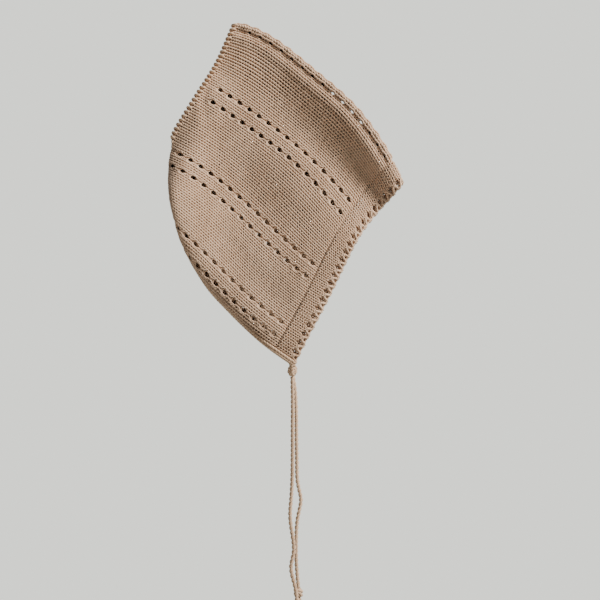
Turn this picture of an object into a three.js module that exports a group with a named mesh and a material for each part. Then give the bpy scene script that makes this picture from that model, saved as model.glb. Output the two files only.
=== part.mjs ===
// A hand-knitted baby bonnet: one knitted rectangle folded along the crown and sewn up the back,
// shown as it hangs from the middle of its top fold, seen from the side.
// Millimetres, +Z up, +X towards the face opening, -Y towards the viewer's (near) side.
// The origin lies on the inside of the top fold, where a peg carries the bonnet.
import * as THREE from "three";

// Size of the hung bonnet without its ties
const HUNG_WIDTH = 175;
const HUNG_HEIGHT = 260;
const HUNG_DEPTH = 50;

// Knitting: wales are counted from the top fold down one side, rows from the face edge to the back seam
const WALES_PER_SIDE = 47.5;
const ROWS = 74.5;
const BAND_ROWS = 8;
const FABRIC = 2.4;
const CLEARANCE = 0.3;

// Top fold and back seam
const FOLD_RADIUS = 3;
const FOLD_RADIUS_AT_FACE = 4.2;
const SEAM_SPREAD = 4.4;
const SEAM_DEPTH = 2.4;
const SEAM_CLOSING_ROWS = 14;

// Nape: the corner of the rectangle is tucked in between the two sides, round this bend
const TUCK_RADIUS = 5;
const RIM_SWELL = 4.5;
const RIM_SWELL_WIDTH = 30;

// Eyelets, in pairs of ladders
const EYELETS_PER_LADDER = 15;
const ROWS_PER_EYELET = 4;
const FIRST_EYELET_ROW = BAND_ROWS + ROWS_PER_EYELET;
const EYELET_LENGTH = 3;
const EYELET_WIDTH = 1.9;
const LADDER_PAIRS = [0, 15, 30, 44];
const LADDER_OFFSET = 1.5;

// Widest step of the panel's grid, and steps of the border and of the seam along their edges
const GRID_WALES = 3.4;
const CREST_WALE = 0.57;
const BORDER_STEP_ROWS = 2.3;
const SEAM_STEP_WALES = 1.5;

// Face band: a hem of two layers, with picot teeth along its fold
const HEM_LAYER = 2;
const PICOT_HEIGHT = 1.6;
const PICOT_WALES = 2;
const PICOT_TIP_SHARE = 0.4;
const BAND_GAP = 0.5;

// Neck border, rolled, with a loop at each chin corner
const BORDER_WIDTH = 4.2;
const BORDER_THICKNESS = 3.6;
const LOOP_RADIUS = 2.3;
const LOOP_WIRE = 1.5;

// Ties: twisted cord with a knot and a short tassel at its end
const CORD_DIAMETER = 3;
const CORD_SIDES = 8;
const CORD_STEP = 7;
const KNOT_DIAMETER = 7;
const KNOT_LENGTH = 6.5;
const TASSEL_LENGTH = 15;
const TASSEL_DIAMETER = 9;

const NEAR = -1;
const FAR = 1;

const clamp01 = (t) => Math.min(1, Math.max(0, t));
const smooth = (t) => clamp01(t) ** 2 * (3 - 2 * clamp01(t));
const mix = (a, b, t) => a + (b - a) * t;

// Stations at the face edge and at these shares of the rows behind the band
const STATION_SHARES = [0, 0.3, 0.54, 0.78, 0.9, 1];
const STATION_ROWS = [0, ...STATION_SHARES.map((share) => mix(BAND_ROWS, ROWS, share))];

// Sections of the hung sheet, one for each named wale, through the stations. x is a share of HUNG_WIDTH,
// z of HUNG_HEIGHT, near and far (the depth of each side) and seam (the depth of the back seam) of
// HUNG_DEPTH. At wale 0 near and far are both the depth of the crest. The nape corner is laid out flat.
const SECTIONS = [
  {
    wale: 0,
    x: [0.497, 0.455, 0.295, 0.127, -0.051, -0.142, -0.216],
    z: [-0.374, -0.32, -0.162, -0.06, 0.035, 0.066, 0.08],
    near: [-0.18, -0.18, -0.12, -0.06, 0, 0, 0],
    far: [-0.18, -0.18, -0.12, -0.06, 0, 0, 0],
    seam: 0,
  },
  {
    wale: 7.5,
    x: [0.413, 0.37, 0.199, 0.038, -0.129, -0.211, -0.277],
    z: [-0.436, -0.384, -0.245, -0.15, -0.065, -0.036, -0.017],
    near: [-0.14, -0.12, -0.05, -0.03, -0.05, -0.09, -0.06],
    far: [0.14, 0.12, 0.1, 0.1, 0.1, 0.08, 0.06],
    seam: -0.06,
  },
  {
    wale: 15,
    x: [0.325, 0.276, 0.107, -0.047, -0.206, -0.287, -0.351],
    z: [-0.509, -0.466, -0.333, -0.243, -0.167, -0.132, -0.107],
    near: [-0.36, -0.28, -0.12, -0.08, -0.1, -0.16, -0.22],
    far: [0.2, 0.22, 0.2, 0.18, 0.18, 0.16, 0.14],
    seam: -0.2,
  },
  {
    wale: 30,
    x: [0.201, 0.135, -0.054, -0.208, -0.367, -0.452, -0.524],
    z: [-0.667, -0.64, -0.532, -0.434, -0.35, -0.317, -0.29],
    near: [-0.64, -0.58, -0.3, -0.16, -0.32, -0.46, -0.52],
    far: [0.24, 0.26, 0.26, 0.24, 0.26, 0.26, 0.26],
    seam: -0.16,
  },
  {
    wale: 44,
    x: [0.075, 0.007, -0.194, -0.345, -0.5, -0.58, -0.653],
    z: [-0.832, -0.802, -0.694, -0.594, -0.502, -0.461, -0.425],
    near: [-0.68, -0.66, -0.48, -0.42, -0.56, -0.6, -0.6],
    far: [0.2, 0.23, 0.26, 0.26, 0.28, 0.28, 0.28],
    seam: -0.1,
  },
  {
    wale: 47.5,
    x: [0.043, -0.028, -0.229, -0.381, -0.534, -0.612, -0.687],
    z: [-0.875, -0.842, -0.735, -0.634, -0.543, -0.504, -0.467],
    near: [-0.62, -0.62, -0.46, -0.4, -0.5, -0.52, -0.5],
    far: [0.14, 0.19, 0.24, 0.26, 0.28, 0.28, 0.28],
    seam: -0.1,
  },
];
const FOLD_WALES = [0.8, 1.6, 2.6];

// The tuck follows an ellipse: centre x and half width are shares of HUNG_WIDTH, centre z and half height
// of HUNG_HEIGHT. Past the stretch of angles around its middle the ellipse opens out, and nothing is tucked.
const TUCK = { x: 0.283, z: -0.354, halfWidth: 0.736, halfHeight: 0.489 };
const TUCK_MIDDLE_DEG = 18.5;
const TUCK_REACH_DEG = 25.5;
const TUCK_RELEASE = 1.6e-4;

// Natural cubic spline through values at rising knots, as a function
function spline(knots, values) {
  const last = knots.length - 1;
  const second = new Array(last + 1).fill(0);
  const upper = new Array(last + 1).fill(0);
  for (let i = 1; i < last; i++) {
    const before = knots[i] - knots[i - 1];
    const after = knots[i + 1] - knots[i];
    const bend = (values[i + 1] - values[i]) / after - (values[i] - values[i - 1]) / before;
    const pivot = 2 * (before + after) - before * upper[i - 1];
    upper[i] = after / pivot;
    second[i] = (6 * bend - before * second[i - 1]) / pivot;
  }
  for (let i = last - 1; i > 0; i--) second[i] -= upper[i] * second[i + 1];
  return (t) => {
    let i = 0;
    while (i < last - 1 && t > knots[i + 1]) i++;
    const gap = knots[i + 1] - knots[i];
    const a = (knots[i + 1] - t) / gap;
    const b = (t - knots[i]) / gap;
    const curve = (a ** 3 - a) * second[i] + (b ** 3 - b) * second[i + 1];
    return a * values[i] + b * values[i + 1] + (curve * gap * gap) / 6;
  };
}

const sectionSplines = SECTIONS.map((section) => ({
  wale: section.wale,
  x: spline(STATION_ROWS, section.x.map((share) => share * HUNG_WIDTH)),
  z: spline(STATION_ROWS, section.z.map((share) => share * HUNG_HEIGHT)),
  near: spline(STATION_ROWS, section.near.map((share) => share * HUNG_DEPTH)),
  far: spline(STATION_ROWS, section.far.map((share) => share * HUNG_DEPTH)),
}));

const seamDepth = spline(
  SECTIONS.map((section) => section.wale),
  SECTIONS.map((section) => section.seam * HUNG_DEPTH),
);

// Mean spacing of the wales, from two neighbouring sections half way back
const [, upperSection, lowerSection] = sectionSplines;
const stitchWidth =
  Math.hypot(
    lowerSection.x(ROWS / 2) - upperSection.x(ROWS / 2),
    lowerSection.z(ROWS / 2) - upperSection.z(ROWS / 2),
  ) / (lowerSection.wale - upperSection.wale);

// The two sides bend round the top fold: how far each goes sideways and down at a wale
function foldProfile(row, wale) {
  const radius = mix(FOLD_RADIUS_AT_FACE, FOLD_RADIUS, smooth(row / (2 * BAND_ROWS)));
  const arc = wale * stitchWidth;
  const quarter = (radius * Math.PI) / 2;
  if (arc < quarter) {
    return { side: radius * Math.sin(arc / radius), drop: radius * (1 - Math.cos(arc / radius)) };
  }
  return { side: radius, drop: radius + arc - quarter };
}

// Splines across the wales at one row, from the near neck edge over the fold to the far one
const rowCache = new Map();
function acrossRow(row) {
  if (rowCache.has(row)) return rowCache.get(row);
  const [crest, ...sides] = sectionSplines;
  const top = { x: crest.x(row), y: crest.near(row), z: crest.z(row) };
  const down = { x: sides[0].x(row) - top.x, z: sides[0].z(row) - top.z };
  const fall = Math.hypot(down.x, down.z);
  const half = (side) => [
    ...FOLD_WALES.map((wale) => {
      const at = foldProfile(row, wale);
      return {
        wale: side * wale,
        x: top.x + (down.x / fall) * at.drop,
        y: top.y + side * at.side,
        z: top.z + (down.z / fall) * at.drop,
      };
    }),
    ...sides.map((s) => ({
      wale: side * s.wale,
      x: s.x(row),
      y: side === NEAR ? s.near(row) : s.far(row),
      z: s.z(row),
    })),
  ];
  const points = [...half(NEAR).reverse(), { wale: 0, ...top }, ...half(FAR)];
  const knots = points.map((p) => p.wale);
  const made = ["x", "y", "z"].map((axis) => spline(knots, points.map((p) => p[axis])));
  rowCache.set(row, made);
  return made;
}

// Turns the nape corner in behind its own side, round a bend of TUCK_RADIUS. Each side swells outwards
// towards that rim.
function tuck(point, side) {
  const dx = point.x - TUCK.x * HUNG_WIDTH;
  const dz = point.z - TUCK.z * HUNG_HEIGHT;
  const reach = Math.hypot(dx, dz);
  const ratio = Math.hypot(dx / (TUCK.halfWidth * HUNG_WIDTH), dz / (TUCK.halfHeight * HUNG_HEIGHT));
  const angle = THREE.MathUtils.radToDeg(Math.atan2(-dz, -dx));
  const past = Math.max(0, Math.abs(angle - TUCK_MIDDLE_DEG) - TUCK_REACH_DEG);
  const edge = (reach / ratio) * (1 + TUCK_RELEASE * past ** 2);
  point.y += side * RIM_SWELL * smooth((reach - edge) / RIM_SWELL_WIDTH + 1);
  const over = reach - edge;
  if (over <= 0) return point;
  const turned = Math.min(over / TUCK_RADIUS, Math.PI);
  const straight = over - turned * TUCK_RADIUS;
  const folded = edge + TUCK_RADIUS * Math.sin(turned) - straight;
  point.x += (dx / reach) * (folded - reach);
  point.z += (dz / reach) * (folded - reach);
  point.y -= side * TUCK_RADIUS * (1 - Math.cos(turned));
  return point;
}

// A point on the middle of the fabric. Negative wales are on the near side, positive ones on the far side.
function fabricPoint(row, wale) {
  const [x, y, z] = acrossRow(row);
  const side = wale < 0 ? NEAR : FAR;
  const point = tuck(new THREE.Vector3(x(wale), y(wale), z(wale)), side);
  const seam = seamDepth(Math.abs(wale));
  const atSeam = seam + side * Math.min(SEAM_SPREAD / 2, Math.abs(y(wale) - seam));
  const closed = smooth((row - ROWS + SEAM_CLOSING_ROWS) / SEAM_CLOSING_ROWS);
  point.y = mix(point.y, atSeam, closed);
  return point;
}

// Directions on the fabric: along the wale to the back, across to the far side, and out of the fabric
const PROBE = 0.05;
function fabricFrame(row, wale) {
  const point = fabricPoint(row, wale);
  const back = fabricPoint(row + PROBE, wale).sub(fabricPoint(row - PROBE, wale)).normalize();
  const across = fabricPoint(row, wale + PROBE).sub(fabricPoint(row, wale - PROBE)).normalize();
  const out = new THREE.Vector3().crossVectors(across, back).normalize();
  return { point, back, across, out };
}

function offsetPoint(row, wale, height) {
  const { point, out } = fabricFrame(row, wale);
  return point.addScaledVector(out, height);
}

// Mean heights of the band's rows and of the crown's, along the middle wale of the near side
function meanRowHeight(from, to) {
  const steps = Math.ceil(to - from);
  let length = 0;
  for (let k = 0; k < steps; k++) {
    const [start, end] = [k, k + 1].map((n) => fabricPoint(mix(from, to, n / steps), -WALES_PER_SIDE / 2));
    length += start.distanceTo(end);
  }
  return length / (to - from);
}
const bandRowHeight = meanRowHeight(0, BAND_ROWS);
const rowHeight = meanRowHeight(BAND_ROWS, ROWS);
const bandEndRow = BAND_ROWS - BAND_GAP / bandRowHeight;
const crownEndRow = ROWS - SEAM_DEPTH / rowHeight;

function meshOf(name, geometry, material) {
  const mesh = new THREE.Mesh(geometry, material);
  mesh.name = name;
  return mesh;
}

function geometryOf(points, faces) {
  const geometry = new THREE.BufferGeometry();
  geometry.setAttribute("position", new THREE.Float32BufferAttribute(points.flatMap((p) => p.toArray()), 3));
  geometry.setIndex(faces.flat());
  geometry.computeVertexNormals();
  return geometry;
}

// A closed sheet of fabric between two heights over its middle. rowAt(i, j) gives each grid point's row,
// and isOpen(i, j) says which cells are cut through.
function fabricSheet(rowCount, wales, rowAt, outer, inner, isOpen) {
  const points = [];
  for (const height of [outer, inner]) {
    wales.forEach((wale, j) => {
      for (let i = 0; i < rowCount; i++) points.push(offsetPoint(rowAt(i, j), wale, height));
    });
  }
  const innerStart = wales.length * rowCount;
  const at = (i, j) => j * rowCount + i;
  const isSolid = (i, j) => i >= 0 && j >= 0 && i < rowCount - 1 && j < wales.length - 1 && !isOpen(i, j);
  const faces = [];
  for (let j = 0; j < wales.length - 1; j++) {
    for (let i = 0; i < rowCount - 1; i++) {
      if (!isSolid(i, j)) continue;
      const corners = [at(i, j), at(i, j + 1), at(i + 1, j + 1), at(i + 1, j)];
      const neighbours = [isSolid(i - 1, j), isSolid(i, j + 1), isSolid(i + 1, j), isSolid(i, j - 1)];
      const [a, b, c, d] = corners;
      faces.push([a, b, c], [a, c, d]);
      faces.push([c + innerStart, b + innerStart, a + innerStart]);
      faces.push([d + innerStart, c + innerStart, a + innerStart]);
      neighbours.forEach((joined, side) => {
        if (joined) return;
        const start = corners[side];
        const end = corners[(side + 1) % 4];
        faces.push([end, start, start + innerStart], [end, start + innerStart, end + innerStart]);
      });
    }
  }
  return geometryOf(points, faces);
}

// A closed solid through rings of the same number of points, with flat ends
function ringSolid(rings) {
  const sides = rings[0].length;
  const faces = [];
  for (let k = 0; k < rings.length - 1; k++) {
    for (let s = 0; s < sides; s++) {
      const a = k * sides + s;
      const b = k * sides + ((s + 1) % sides);
      faces.push([a, b, b + sides], [a, b + sides, a + sides]);
    }
  }
  const end = (rings.length - 1) * sides;
  for (let s = 1; s < sides - 1; s++) {
    faces.push([0, s + 1, s], [end, end + s, end + s + 1]);
  }
  return geometryOf(rings.flat(), faces);
}

function yarn(hex) {
  return new THREE.MeshStandardMaterial({ color: hex, roughness: 0.92, metalness: 0 });
}

// Grid lines down one side: both edges of every ladder that is cut through, and even steps between them
function sideWales(cutPairs) {
  const halfEyelet = EYELET_WIDTH / stitchWidth / 2;
  const ladders = cutPairs.flatMap((pair) => [pair - LADDER_OFFSET, pair + LADDER_OFFSET]);
  const below = ladders.filter((ladder) => ladder > 0);
  const edges = below.flatMap((ladder) => [ladder - halfEyelet, ladder + halfEyelet]);
  const fixed = [CREST_WALE, ...edges, WALES_PER_SIDE];
  return fixed.flatMap((wale, k) => {
    if (k === 0) return [wale];
    const from = fixed[k - 1];
    const parts = Math.ceil((wale - from) / GRID_WALES);
    return Array.from({ length: parts }, (_, n) => mix(from, wale, (n + 1) / parts));
  });
}

function crownRows() {
  const halfEyelet = EYELET_LENGTH / rowHeight / 2;
  const rows = [BAND_ROWS];
  for (let k = 0; k < EYELETS_PER_LADDER; k++) {
    const middle = FIRST_EYELET_ROW + k * ROWS_PER_EYELET;
    rows.push(middle - halfEyelet, middle + halfEyelet);
  }
  const left = crownEndRow - rows[rows.length - 1];
  return [...rows, crownEndRow - left / 2, crownEndRow];
}

// The eyelets of the near side, and of the pair that straddles the top fold, are cut through
function crownPanel() {
  const nearSide = sideWales(LADDER_PAIRS);
  const farSide = sideWales(LADDER_PAIRS.slice(0, 1));
  const wales = [...nearSide.map((wale) => -wale).reverse(), 0, ...farSide];
  const rows = crownRows();
  const ladders = LADDER_PAIRS.flatMap((pair) => [-pair - LADDER_OFFSET, -pair + LADDER_OFFSET]);
  const isLadder = wales.slice(0, -1).map((wale, j) => {
    const middle = (wale + wales[j + 1]) / 2;
    return ladders.some((ladder) => Math.abs(ladder - middle) < CLEARANCE / stitchWidth);
  });
  const isEyeletRow = rows.map((_, i) => i % 2 === 1 && i < 2 * EYELETS_PER_LADDER);
  return fabricSheet(
    rows.length,
    wales,
    (i) => rows[i],
    FABRIC / 2,
    -FABRIC / 2,
    (i, j) => isLadder[j] && isEyeletRow[i],
  );
}

// The hem's outer layer carries on from the crown panel, and its inner layer is turned in behind it
function faceBand() {
  const teeth = Math.floor(WALES_PER_SIDE / PICOT_WALES);
  const halfTip = PICOT_WALES * PICOT_TIP_SHARE / 2;
  const wales = [-WALES_PER_SIDE];
  const isTip = [false];
  for (let k = -teeth; k <= teeth; k++) {
    wales.push((k - 0.5) * PICOT_WALES, k * PICOT_WALES - halfTip, k * PICOT_WALES + halfTip);
    isTip.push(false, true, true);
  }
  wales.push((teeth + 0.5) * PICOT_WALES);
  isTip.push(false);
  const toothRows = PICOT_HEIGHT / bandRowHeight;
  const rows = [0, toothRows, bandEndRow];
  const rowAt = (i, j) => (i === 0 && isTip[j] ? -toothRows : rows[i]);
  return fabricSheet(rows.length, wales, rowAt, FABRIC / 2, -FABRIC / 2 - HEM_LAYER, () => false);
}

// A padded strip that follows one side's neck edge, from the chin to the nape
const BORDER_SHAPE = [
  [0, 0.6],
  [0.25, 1],
  [0.8, 0.85],
  [1, 0],
  [0.8, -0.85],
  [0.25, -1],
  [0, -0.6],
];
function neckBorder(side) {
  const rings = [];
  const steps = Math.round(crownEndRow / BORDER_STEP_ROWS);
  for (let k = 0; k <= steps; k++) {
    const row = (crownEndRow * k) / steps;
    const { point, across, out } = fabricFrame(row, side * WALES_PER_SIDE);
    const outward = across.multiplyScalar(side);
    const ring = BORDER_SHAPE.map(([reach, height]) =>
      point
        .clone()
        .addScaledVector(outward, CLEARANCE + reach * BORDER_WIDTH)
        .addScaledVector(out, (height * BORDER_THICKNESS) / 2),
    );
    rings.push(side === FAR ? ring : ring.reverse());
  }
  return ringSolid(rings);
}

// The sewn ridge that closes the back, from just over the tip down to the nape
const SEAM_SHAPE = [
  [0, -1],
  [0.7, -0.85],
  [1, -0.3],
  [1, 0.3],
  [0.7, 0.85],
  [0, 1],
];
function backSeam() {
  const halfHeight = SEAM_SPREAD / 2 + FABRIC / 2;
  const steps = Math.round(WALES_PER_SIDE / SEAM_STEP_WALES);
  const rings = [];
  for (let k = 0; k <= steps; k++) {
    const wale = (WALES_PER_SIDE * k) / steps;
    const near = fabricFrame(crownEndRow, -wale);
    const far = fabricFrame(crownEndRow, wale);
    const middle = near.point.clone().add(far.point).multiplyScalar(0.5);
    const back = near.back.clone().add(far.back).setY(0).normalize();
    if (k === 0) middle.addScaledVector(near.out, FABRIC / 2);
    rings.push(
      SEAM_SHAPE.map(([reach, height]) =>
        middle
          .clone()
          .addScaledVector(back, CLEARANCE + reach * SEAM_DEPTH)
          .add(new THREE.Vector3(0, height * halfHeight, 0)),
      ),
    );
  }
  return ringSolid(rings);
}

// A small upright ring of cord below a chin corner
function chinLoop(side) {
  const { point, across } = fabricFrame(0, side * WALES_PER_SIDE);
  const corner = point.addScaledVector(across, side * (CLEARANCE + BORDER_WIDTH));
  const wire = [];
  const wireSides = 6;
  for (let k = 0; k <= wireSides; k++) {
    const angle = (k / wireSides) * 2 * Math.PI;
    wire.push(
      new THREE.Vector2(LOOP_RADIUS + LOOP_WIRE * Math.cos(angle), LOOP_WIRE * Math.sin(angle)),
    );
  }
  const ring = new THREE.LatheGeometry(wire, 12);
  const centre = corner.clone().add(new THREE.Vector3(0, 0, -(LOOP_RADIUS + LOOP_WIRE + CLEARANCE)));
  return { ring, centre };
}

// Hand-chosen points of each tie below the loop that it leaves, in millimetres
const NEAR_TIE = [
  [0, 0, 0],
  [0.2, 0, -10],
  [0.3, 0, -22],
  [0.2, 0, -36],
  [0.2, 0, -50],
  [0.1, 0, -64],
  [-0.2, 0, -76],
  [-1.0, 0, -89],
  [-1.6, 0, -98],
  [-0.8, 0, -108],
  [0.7, 0.5, -118],
  [0.8, 1, -127],
  [-0.9, 1, -136],
  [0.2, 1, -144],
  [2.2, 1, -152],
  [3.3, 1, -161],
];
const FAR_TIE = [
  [0, 0, 0],
  [1.5, 0, -9],
  [2.5, 0, -22],
  [2.8, 0, -38],
  [3.0, 0, -54],
  [3.2, 0, -70],
  [3.6, 0, -80],
  [5.2, 0, -88],
  [6.2, 0, -94],
  [5.2, 0, -101],
  [3.6, 0, -109],
  [2.8, 0, -120],
  [2.6, 0, -131],
  [2.8, 0, -141],
  [3.4, 0, -150],
  [4.4, 0, -160],
];

function tieCord(start, route) {
  const curve = new THREE.CatmullRomCurve3(
    route.map(([x, y, z]) => start.clone().add(new THREE.Vector3(x, y, z))),
    false,
    "centripetal",
  );
  const section = new THREE.Shape();
  for (let k = 0; k < CORD_SIDES; k++) {
    const angle = (k / CORD_SIDES) * 2 * Math.PI;
    const x = (CORD_DIAMETER / 2) * Math.cos(angle);
    const y = (CORD_DIAMETER / 2) * Math.sin(angle);
    if (k === 0) section.moveTo(x, y);
    else section.lineTo(x, y);
  }
  section.closePath();
  const geometry = new THREE.ExtrudeGeometry(section, {
    steps: Math.round(curve.getLength() / CORD_STEP),
    extrudePath: curve,
    bevelEnabled: false,
  });
  return { geometry, end: curve.getPoint(1) };
}

// The knot and the tassel below it, turned round the cord's end, with the tassel in eight locks
const END_SHAPE = [
  [0, 0.35],
  [0.12, 0.8],
  [0.3, 1],
  [0.55, 0.9],
  [0.75, 0.5],
];
const TASSEL_SHAPE = [
  [0.1, 0.5],
  [0.4, 0.85],
  [0.8, 1],
  [1, 0.82],
];
const TASSEL_LOCKS = 8;
const LOCK_DEPTH = 0.22;
function tieEnd(top) {
  const rings = [];
  const ring = (z, radius, lock) => {
    const points = [];
    for (let k = 0; k < 2 * TASSEL_LOCKS; k++) {
      const angle = (-k / (2 * TASSEL_LOCKS)) * 2 * Math.PI;
      const reach = radius * (k % 2 ? 1 - lock : 1);
      points.push(new THREE.Vector3(reach * Math.cos(angle), reach * Math.sin(angle), z).add(top));
    }
    rings.push(points);
  };
  END_SHAPE.forEach(([down, wide]) => ring(-CLEARANCE - down * KNOT_LENGTH, (wide * KNOT_DIAMETER) / 2, 0));
  TASSEL_SHAPE.forEach(([down, wide]) =>
    ring(-CLEARANCE - KNOT_LENGTH - down * TASSEL_LENGTH, (wide * TASSEL_DIAMETER) / 2, LOCK_DEPTH),
  );
  return ringSolid(rings);
}

const bodyYarn = yarn(0xc4a88e);
const bandYarn = yarn(0xbda087);
const seamYarn = yarn(0xc9ae95);
const cordYarn = yarn(0xcbb097);

const bonnet = new THREE.Group();
bonnet.add(meshOf("crown_panel", crownPanel(), bodyYarn));
bonnet.add(meshOf("face_band", faceBand(), bandYarn));
bonnet.add(meshOf("back_seam", backSeam(), seamYarn));
for (const [side, label, route] of [
  [NEAR, "near", NEAR_TIE],
  [FAR, "far", FAR_TIE],
]) {
  bonnet.add(meshOf("neck_border_" + label, neckBorder(side), seamYarn));
  const loop = chinLoop(side);
  const ring = meshOf("chin_loop_" + label, loop.ring, cordYarn);
  ring.position.copy(loop.centre);
  bonnet.add(ring);
  const exit = loop.centre.clone().add(new THREE.Vector3(0, 0, -(LOOP_RADIUS + LOOP_WIRE + CLEARANCE)));
  const cord = tieCord(exit, route);
  bonnet.add(meshOf("tie_cord_" + label, cord.geometry, cordYarn));
  bonnet.add(meshOf("tie_end_" + label, tieEnd(cord.end), cordYarn));
}

export default bonnet;
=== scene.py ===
"""Looks of a hand-knitted baby bonnet that hangs from the middle of its top fold.

Every stitch is real yarn: one tube for each knitted row, carried over the same surface as the solids.
The scene is in metres. Shapes are worked out in millimetres, and places on the fabric in rows (from
the face edge to the back) and wales (from the fold, negative on the near side).
"""
import math

import bpy
import numpy as np
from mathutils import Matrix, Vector


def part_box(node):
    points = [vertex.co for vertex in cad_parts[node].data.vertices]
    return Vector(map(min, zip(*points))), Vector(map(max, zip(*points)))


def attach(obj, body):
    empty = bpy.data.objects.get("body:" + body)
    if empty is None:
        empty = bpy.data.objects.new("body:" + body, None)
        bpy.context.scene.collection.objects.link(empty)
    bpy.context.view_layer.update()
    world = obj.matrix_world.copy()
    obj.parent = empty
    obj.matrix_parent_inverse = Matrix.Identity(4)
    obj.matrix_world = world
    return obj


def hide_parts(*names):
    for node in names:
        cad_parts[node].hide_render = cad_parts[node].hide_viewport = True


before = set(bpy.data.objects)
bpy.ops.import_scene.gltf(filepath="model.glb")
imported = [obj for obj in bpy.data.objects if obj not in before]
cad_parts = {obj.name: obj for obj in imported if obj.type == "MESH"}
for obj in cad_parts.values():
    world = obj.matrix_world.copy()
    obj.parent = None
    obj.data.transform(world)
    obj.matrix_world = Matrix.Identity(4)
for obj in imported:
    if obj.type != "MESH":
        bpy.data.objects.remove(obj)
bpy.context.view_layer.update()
MM = 0.001
TINY, BARELY = 1e-12, 1e-9
SIDES = ((-1, "near"), (1, "far"))
rng = np.random.default_rng(7)

# Camera: level, and FRAME_WIDTH wide at CAMERA_DISTANCE
FRAME_WIDTH = 444.0
CAMERA_DISTANCE = 1100.0
SENSOR = 36.0
CAMERA_AT = (11.1, -1103.0, -184.1)
CLIP_START = 0.01

camera = bpy.data.objects.new("camera", bpy.data.cameras.new("camera"))
camera.data.sensor_width = SENSOR
camera.data.lens = SENSOR * CAMERA_DISTANCE / FRAME_WIDTH
camera.location = Vector(CAMERA_AT) * MM
camera.rotation_euler = (math.pi / 2, 0.0, 0.0)
camera.data.clip_start = CLIP_START
bpy.context.collection.objects.link(camera)
bpy.context.scene.camera = camera

# The knitted surface, as in the source. The tables hold a line for each of SECTION_WALES and a column
# for each of STATION_ROWS, as shares of the hung sizes.
HUNG_WIDTH, HUNG_HEIGHT, HUNG_DEPTH = 175.0, 260.0, 50.0
WALES, ROWS, BAND_ROWS = 47.5, 74.5, 8.0
STITCH_WIDTH = 3.6
STATION_SHARES = np.array([0, 0.3, 0.54, 0.78, 0.9, 1])
STATION_ROWS = np.concatenate([[0], BAND_ROWS + STATION_SHARES * (ROWS - BAND_ROWS)])
SECTION_WALES = [0, 7.5, 15, 30, 44, 47.5]
SECTION_X = np.array([
    [0.497, 0.455, 0.295, 0.127, -0.051, -0.142, -0.216],
    [0.413, 0.37, 0.199, 0.038, -0.129, -0.211, -0.277],
    [0.325, 0.276, 0.107, -0.047, -0.206, -0.287, -0.351],
    [0.201, 0.135, -0.054, -0.208, -0.367, -0.452, -0.524],
    [0.075, 0.007, -0.194, -0.345, -0.5, -0.58, -0.653],
    [0.043, -0.028, -0.229, -0.381, -0.534, -0.612, -0.687],
]) * HUNG_WIDTH
SECTION_Z = np.array([
    [-0.374, -0.32, -0.162, -0.06, 0.035, 0.066, 0.08],
    [-0.436, -0.384, -0.245, -0.15, -0.065, -0.036, -0.017],
    [-0.509, -0.466, -0.333, -0.243, -0.167, -0.132, -0.107],
    [-0.667, -0.64, -0.532, -0.434, -0.35, -0.317, -0.29],
    [-0.832, -0.802, -0.694, -0.594, -0.502, -0.461, -0.425],
    [-0.875, -0.842, -0.735, -0.634, -0.543, -0.504, -0.467],
]) * HUNG_HEIGHT
SECTION_NEAR = np.array([
    [-0.18, -0.18, -0.12, -0.06, 0, 0, 0],
    [-0.14, -0.12, -0.05, -0.03, -0.05, -0.09, -0.06],
    [-0.36, -0.28, -0.12, -0.08, -0.1, -0.16, -0.22],
    [-0.64, -0.58, -0.3, -0.16, -0.32, -0.46, -0.52],
    [-0.68, -0.66, -0.48, -0.42, -0.56, -0.6, -0.6],
    [-0.62, -0.62, -0.46, -0.4, -0.5, -0.52, -0.5],
]) * HUNG_DEPTH
SECTION_FAR = np.array([
    [-0.18, -0.18, -0.12, -0.06, 0, 0, 0],
    [0.14, 0.12, 0.1, 0.1, 0.1, 0.08, 0.06],
    [0.2, 0.22, 0.2, 0.18, 0.18, 0.16, 0.14],
    [0.24, 0.26, 0.26, 0.24, 0.26, 0.26, 0.26],
    [0.2, 0.23, 0.26, 0.26, 0.28, 0.28, 0.28],
    [0.14, 0.19, 0.24, 0.26, 0.28, 0.28, 0.28],
]) * HUNG_DEPTH
SECTION_SEAM = np.array([0, -0.06, -0.2, -0.16, -0.1, -0.1]) * HUNG_DEPTH
# The fold along the crown
FOLD_WALES = np.array([0.8, 1.6, 2.6])
FOLD_RADIUS, FOLD_RADIUS_AT_FACE = 3.0, 4.2
# The nape corner past this ellipse is tucked in between the layers, and the rims before it swell
TUCK_X, TUCK_Z, TUCK_HALF_WIDTH, TUCK_HALF_HEIGHT = 0.283, -0.354, 0.736, 0.489
TUCK_RADIUS = 5.0
TUCK_MIDDLE, TUCK_REACH, TUCK_RELEASE = 18.5, 25.5, 1.6e-4
RIM_SWELL, RIM_SWELL_WIDTH = 4.5, 30.0
# The two layers close on the back seam
SEAM_SPREAD, SEAM_DEPTH, SEAM_CLOSING_ROWS = 4.4, 2.4, 14.0


def second_matrix(knots):
    """The matrix that turns values at the knots into a natural spline's second derivatives."""
    n = len(knots)
    left, right = np.eye(n), np.zeros((n, n))
    for i in range(1, n - 1):
        a, b = knots[i] - knots[i - 1], knots[i + 1] - knots[i]
        left[i, i - 1 : i + 2] = a, 2 * (a + b), b
        right[i, i - 1 : i + 2] = 6 / a, -6 / a - 6 / b, 6 / b
    return np.linalg.solve(left, right)


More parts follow.
